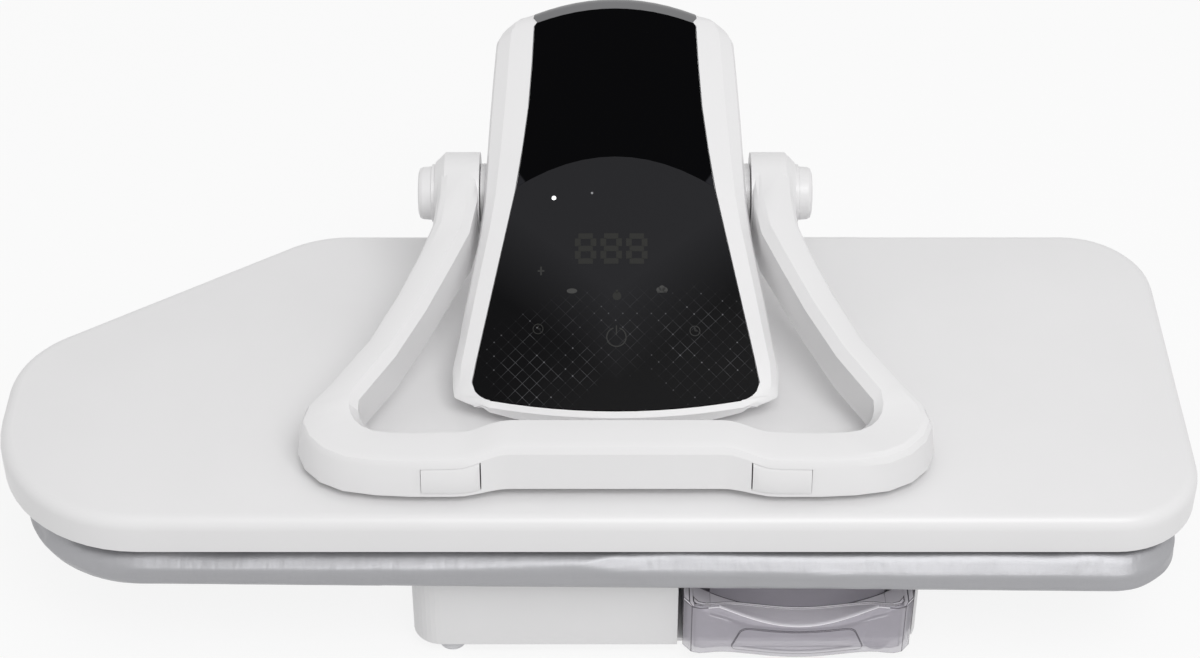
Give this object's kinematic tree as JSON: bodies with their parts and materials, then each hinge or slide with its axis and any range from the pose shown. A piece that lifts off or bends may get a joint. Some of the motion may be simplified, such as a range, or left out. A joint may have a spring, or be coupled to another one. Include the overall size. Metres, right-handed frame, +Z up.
{
  "type": "steam ironing press",
  "caption": "Table-top steam press: a hinged hot plate under a sloped touch-panel head, closed by a U handle onto a padded board over a base with a pull-out water tank.",
  "frame": {"origin": "on the floor under the middle of the overall box", "axes": "+X to the right along the plate, +Y from the handle at the front to the hinge at the back, +Z up"},
  "size_m": [0.812, 0.3901, 0.3206],
  "materials": {
    "shell_white": "satin",
    "trim_white": "satin",
    "panel_black": "polished",
    "lens_grey": "polished",
    "sole_alloy": "satin",
    "cast_alloy": "as cast",
    "dark_steel": "satin",
    "bright_steel": "polished",
    "frame_steel": "satin",
    "pan_steel": "satin",
    "felt": "soft",
    "silver_cloth": "metallised weave",
    "mineral_wool": "fibrous",
    "rubber": "matte",
    "foot_rubber": "matte",
    "hose": "matte",
    "dark_plastic": "matte",
    "circuit": "satin",
    "clear_tank": "clear",
    "plug_grey": "matte",
    "bush_plastic": "satin"
  },
  "bodies": {
    "base": {"board_pan": "pan_steel", "board_pad": "felt", "board_cover": "silver_cloth", "base_casing": "shell_white", "base_bottom": "trim_white", "rubber_feet": "foot_rubber", "base_screws": "dark_steel", "pump": "dark_plastic", "feed_hose": "hose", "tank_coupling": "dark_plastic", "power_board": "circuit", "cord_inlet": "rubber", "hinge_bracket": "frame_steel", "bracket_screws": "dark_steel", "hinge_pin": "bright_steel", "hinge_ears": "shell_white"},
    "arm": {"shoe_cover": "shell_white", "sole": "sole_alloy", "heater": "dark_steel", "steam_chamber": "cast_alloy", "insulation": "mineral_wool", "thermostat": "dark_plastic", "shoe_bracket": "frame_steel", "shoe_screws": "dark_steel", "head_shell": "shell_white", "control_lens": "lens_grey", "top_panel": "panel_black", "control_board": "circuit", "display": "panel_black", "arm_frame": "frame_steel", "hinge_bushes": "bush_plastic", "pivot_bushes": "bush_plastic", "pivot_collars": "shell_white", "steam_hose": "hose", "lift_springs": "dark_steel"},
    "handle": {"handle_shell": "shell_white", "handle_cover": "trim_white", "handle_screws": "dark_steel", "handle_shaft": "bright_steel", "pivot_caps": "trim_white", "steam_switches": "dark_plastic"},
    "button_left": {"steam_button_left": "trim_white"},
    "button_right": {"steam_button_right": "trim_white"},
    "tank": {"tank_body": "clear_tank", "tank_lid": "clear_tank", "tank_valve": "dark_plastic"},
    "plug": {"filler_plug": "plug_grey"}
  },
  "joints": [
    {"name": "arm_hinge", "type": "hinge", "parent": "base", "child": "arm", "pos_m": [0.015, 0.16525, 0.118], "axis": [-1, 0, 0], "range_deg": [0, 50]},
    {"name": "handle_pivot", "type": "hinge", "parent": "arm", "child": "handle", "pos_m": [0.015, 0.06925, 0.219], "axis": [-1, 0, 0], "range_deg": [0, 70]},
    {"name": "steam_press_left", "type": "slide", "parent": "handle", "child": "button_left", "axis": [0, 1, 0], "range_m": [0, 0.0025], "stiffness_N_per_m": 800, "springref_m": -0.001},
    {"name": "steam_press_right", "type": "slide", "parent": "handle", "child": "button_right", "axis": [0, 1, 0], "range_m": [0, 0.0025], "stiffness_N_per_m": 800, "springref_m": -0.001},
    {"name": "tank_slide", "type": "slide", "parent": "base", "child": "tank", "axis": [0, -1, 0], "range_m": [0, 0.16]},
    {"name": "plug_lift", "type": "slide", "parent": "tank", "child": "plug", "axis": [0, 0, 1], "range_m": [0, 0.008]}
  ]
}
